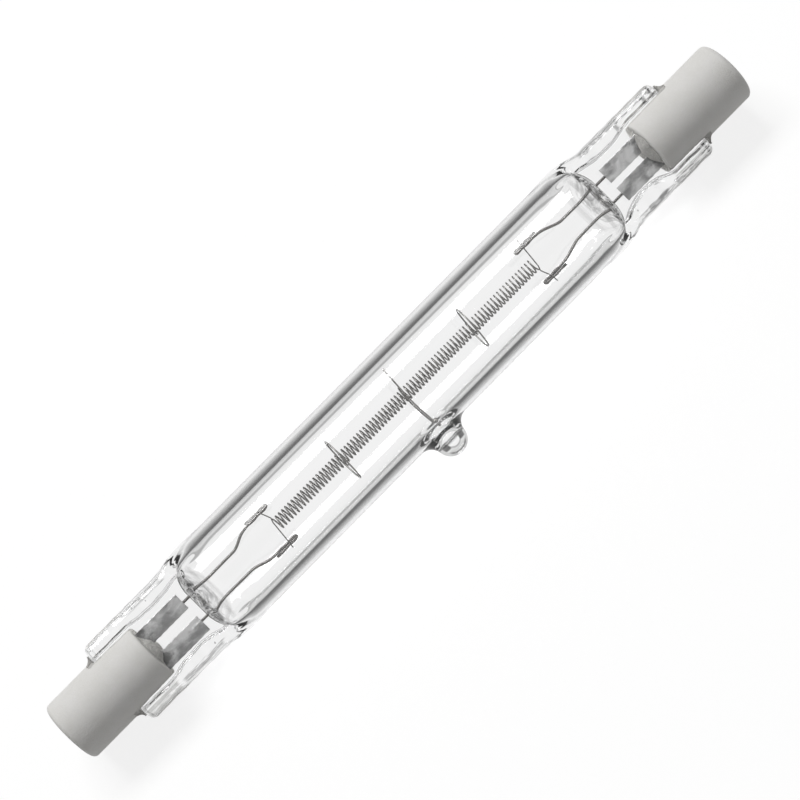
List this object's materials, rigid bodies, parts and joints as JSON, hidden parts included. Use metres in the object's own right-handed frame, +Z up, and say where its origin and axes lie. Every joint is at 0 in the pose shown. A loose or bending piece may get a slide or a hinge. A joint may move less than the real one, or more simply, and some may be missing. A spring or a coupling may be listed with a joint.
{
  "type": "linear halogen bulb",
  "caption": "Slim double-ended halogen bulb: quartz tube with a coiled filament, flat sealed ends and ceramic caps with recessed contacts.",
  "frame": {"origin": "on the surface it lies on, midway along the bulb and midway between its front and back", "axes": "+X along the bulb, +Z up, with the exhaust tip towards -Y and touching the surface"},
  "size_m": [0.0782, 0.0104, 0.009],
  "materials": {
    "quartz": "clear fused quartz",
    "tungsten": "grey drawn tungsten wire",
    "lead_wire": "grey molybdenum wire",
    "foil": "thin molybdenum foil, softly wrinkled",
    "ceramic": "unglazed white ceramic",
    "cement": "rough grey-white cement",
    "contact": "plated steel button"
  },
  "bodies": {
    "root": {"quartz_envelope": "quartz", "filament": "tungsten", "filament_support_left": "tungsten", "filament_support_right": "tungsten", "centre_support": "tungsten", "cross_wire_left": "tungsten", "cross_wire_right": "tungsten", "inner_lead_left_upper": "lead_wire", "inner_lead_left_lower": "lead_wire", "inner_lead_right_upper": "lead_wire", "inner_lead_right_lower": "lead_wire", "outer_lead_left_upper": "lead_wire", "outer_lead_left_lower": "lead_wire", "outer_lead_right_upper": "lead_wire", "outer_lead_right_lower": "lead_wire", "foil_left_upper": "foil", "foil_left_lower": "foil", "foil_right_upper": "foil", "foil_right_lower": "foil", "ceramic_cap_left": "ceramic", "ceramic_cap_right": "ceramic", "cement_left": "cement", "cement_right": "cement", "contact_left": "contact", "contact_right": "contact"}
  },
  "joints": []
}
